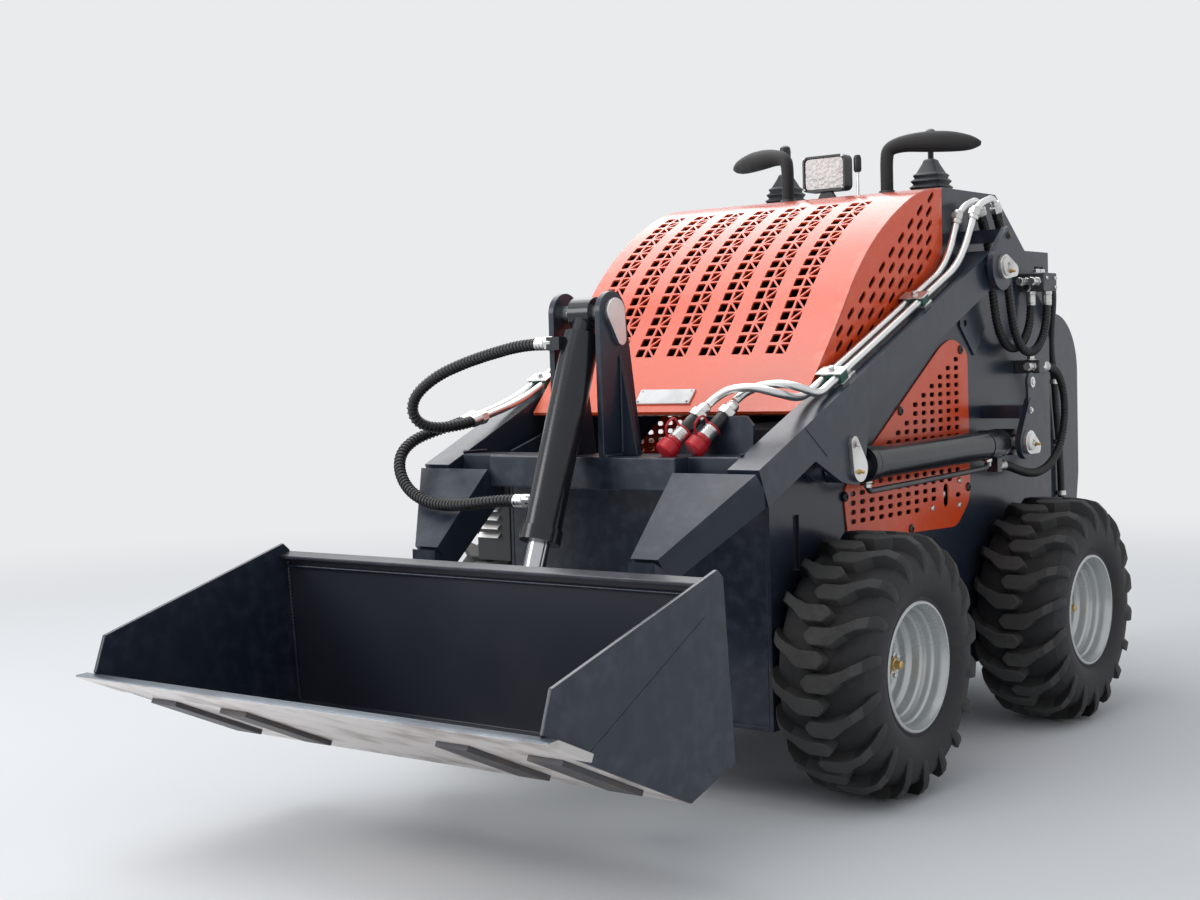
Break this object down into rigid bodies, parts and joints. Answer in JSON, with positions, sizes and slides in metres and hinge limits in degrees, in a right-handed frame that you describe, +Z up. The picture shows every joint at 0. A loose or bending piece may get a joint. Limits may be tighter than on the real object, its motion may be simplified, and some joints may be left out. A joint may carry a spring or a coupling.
{
  "type": "skid steer loader",
  "caption": "Compact stand-on skid steer loader: lift arms with a tilt tower and tipping bucket, sloping hood, perforated side vents, lugged tyres and a folding operator stand at the back.",
  "frame": {"origin": "centre of the footprint of the whole machine, on the ground the wheels stand on", "axes": "+X to the machine's left, -Y forward towards the bucket, +Z up"},
  "size_m": [0.956, 2.236, 1.223],
  "materials": {
    "dark_paint": "satin dark blue-grey paint",
    "orange_paint": "satin orange paint",
    "rim_paint": "light grey paint",
    "tyre": "matt rubber",
    "bare_steel": "scuffed bare steel",
    "chrome_rod": "ground and plated",
    "zinc_plate": "zinc plated steel",
    "hose_rubber": "black hose cover",
    "engine_cast": "cast",
    "grip_rubber": "matt black",
    "lamp_plastic": "black housing"
  },
  "bodies": {
    "chassis": {"side_plate_left": "dark_paint", "side_plate_right": "dark_paint", "belly_plate": "dark_paint", "front_plate": "dark_paint", "rear_plate": "dark_paint", "engine_block": "engine_cast", "axle_housings": "dark_paint", "vent_panel_left": "orange_paint", "vent_panel_right": "orange_paint", "console": "dark_paint", "rear_housing": "dark_paint", "hold_bars": "grip_rubber", "control_levers": "grip_rubber", "work_lamp": "lamp_plastic", "arm_brackets": "dark_paint", "lift_brackets": "dark_paint", "pivot_pins": "zinc_plate", "hose_manifolds": "zinc_plate", "swing_hose_outer": "hose_rubber", "swing_hose_inner": "hose_rubber", "lift_hose": "hose_rubber"},
    "hood": {"hood": "orange_paint", "hood_cheeks": "orange_paint", "hood_plate": "bare_steel"},
    "arms": {"arm_left": "dark_paint", "arm_right": "dark_paint", "cross_member": "dark_paint", "tilt_tower": "dark_paint", "tilt_pin": "zinc_plate", "lift_pin_flags": "zinc_plate", "coupler_bracket": "dark_paint", "quick_couplers": "zinc_plate", "arm_pipes": "zinc_plate", "pipe_saddles": "dark_paint", "tilt_hose_upper": "hose_rubber", "tilt_hose_lower": "hose_rubber"},
    "tilt_barrel": {"tilt_barrel": "dark_paint"},
    "tilt_rod": {"tilt_rod": "chrome_rod"},
    "lift_barrel_left": {"lift_barrel_left": "dark_paint"},
    "lift_rod_left": {"lift_rod_left": "chrome_rod"},
    "lift_barrel_right": {"lift_barrel_right": "dark_paint"},
    "lift_rod_right": {"lift_rod_right": "chrome_rod"},
    "bucket": {"bucket_shell": "dark_paint", "bucket_side_left": "dark_paint", "bucket_side_right": "dark_paint", "cutting_edge": "bare_steel", "skid_strips": "bare_steel", "coupler_plate": "dark_paint", "bucket_pins": "zinc_plate"},
    "stand": {"stand_platform": "dark_paint"},
    "wheel_front_left": {"tyre_front_left": "tyre", "rim_front_left": "rim_paint"},
    "wheel_front_right": {"tyre_front_right": "tyre", "rim_front_right": "rim_paint"},
    "wheel_rear_left": {"tyre_rear_left": "tyre", "rim_rear_left": "rim_paint"},
    "wheel_rear_right": {"tyre_rear_right": "tyre", "rim_rear_right": "rim_paint"}
  },
  "joints": [
    {"name": "wheel_front_left_spin", "type": "hinge", "parent": "chassis", "child": "wheel_front_left", "pos_m": [0.383, -0.107, 0.2286], "axis": [1, 0, 0], "continuous": true},
    {"name": "wheel_front_right_spin", "type": "hinge", "parent": "chassis", "child": "wheel_front_right", "pos_m": [-0.383, -0.107, 0.2286], "axis": [1, 0, 0], "continuous": true},
    {"name": "wheel_rear_left_spin", "type": "hinge", "parent": "chassis", "child": "wheel_rear_left", "pos_m": [0.383, 0.649, 0.2286], "axis": [1, 0, 0], "continuous": true},
    {"name": "wheel_rear_right_spin", "type": "hinge", "parent": "chassis", "child": "wheel_rear_right", "pos_m": [-0.383, 0.649, 0.2286], "axis": [1, 0, 0], "continuous": true},
    {"name": "hood_hinge", "type": "hinge", "parent": "chassis", "child": "hood", "pos_m": [0, 0.352, 1.062], "axis": [-1, 0, 0], "range_deg": [0, 35]},
    {"name": "lift", "type": "hinge", "parent": "chassis", "child": "arms", "pos_m": [0, 0.436, 0.925], "axis": [-1, 0, 0], "range_deg": [0, 60], "deforming": ["swing_hose_outer", "swing_hose_inner"]},
    {"name": "bucket_tilt", "type": "hinge", "parent": "arms", "child": "bucket", "pos_m": [0, -0.56, 0.19], "axis": [1, 0, 0], "range_deg": [0, 100]},
    {"name": "tilt_barrel_swing", "type": "hinge", "parent": "arms", "child": "tilt_barrel", "pos_m": [0, -0.405, 0.843], "axis": [1, 0, 0], "range_deg": [-3, 3], "deforming": ["tilt_hose_upper", "tilt_hose_lower"]},
    {"name": "tilt_rod_slide", "type": "slide", "parent": "tilt_barrel", "child": "tilt_rod", "axis": [0, -0.3553, -0.9347], "range_m": [0, 0.2235]},
    {"name": "lift_barrel_left_swing", "type": "hinge", "parent": "chassis", "child": "lift_barrel_left", "pos_m": [0.33, 0.54, 0.576], "axis": [-1, 0, 0], "range_deg": [0, 44.5], "deforming": ["lift_hose"]},
    {"name": "lift_rod_left_slide", "type": "slide", "parent": "lift_barrel_left", "child": "lift_rod_left", "axis": [0, -0.9999, -0.015], "range_m": [0, 0.2915]},
    {"name": "lift_barrel_right_swing", "type": "hinge", "parent": "chassis", "child": "lift_barrel_right", "pos_m": [-0.33, 0.54, 0.576], "axis": [-1, 0, 0], "range_deg": [0, 44.5]},
    {"name": "lift_rod_right_slide", "type": "slide", "parent": "lift_barrel_right", "child": "lift_rod_right", "axis": [0, -0.9999, -0.015], "range_m": [0, 0.2915]},
    {"name": "stand_fold", "type": "hinge", "parent": "chassis", "child": "stand", "pos_m": [0, 1.104, 0.235], "axis": [-1, 0, 0], "range_deg": [0, 90]}
  ],
  "couplings": [
    {"joint": "tilt_barrel_swing", "follows": "bucket_tilt", "ratio": -0.0093678},
    {"joint": "tilt_rod_slide", "follows": "bucket_tilt", "m_per_rad": 0.12767},
    {"joint": "lift_barrel_left_swing", "follows": "lift", "ratio": 0.73604},
    {"joint": "lift_rod_left_slide", "follows": "lift", "m_per_rad": 0.27737},
    {"joint": "lift_barrel_right_swing", "follows": "lift", "ratio": 0.73604},
    {"joint": "lift_rod_right_slide", "follows": "lift", "m_per_rad": 0.27737}
  ]
}
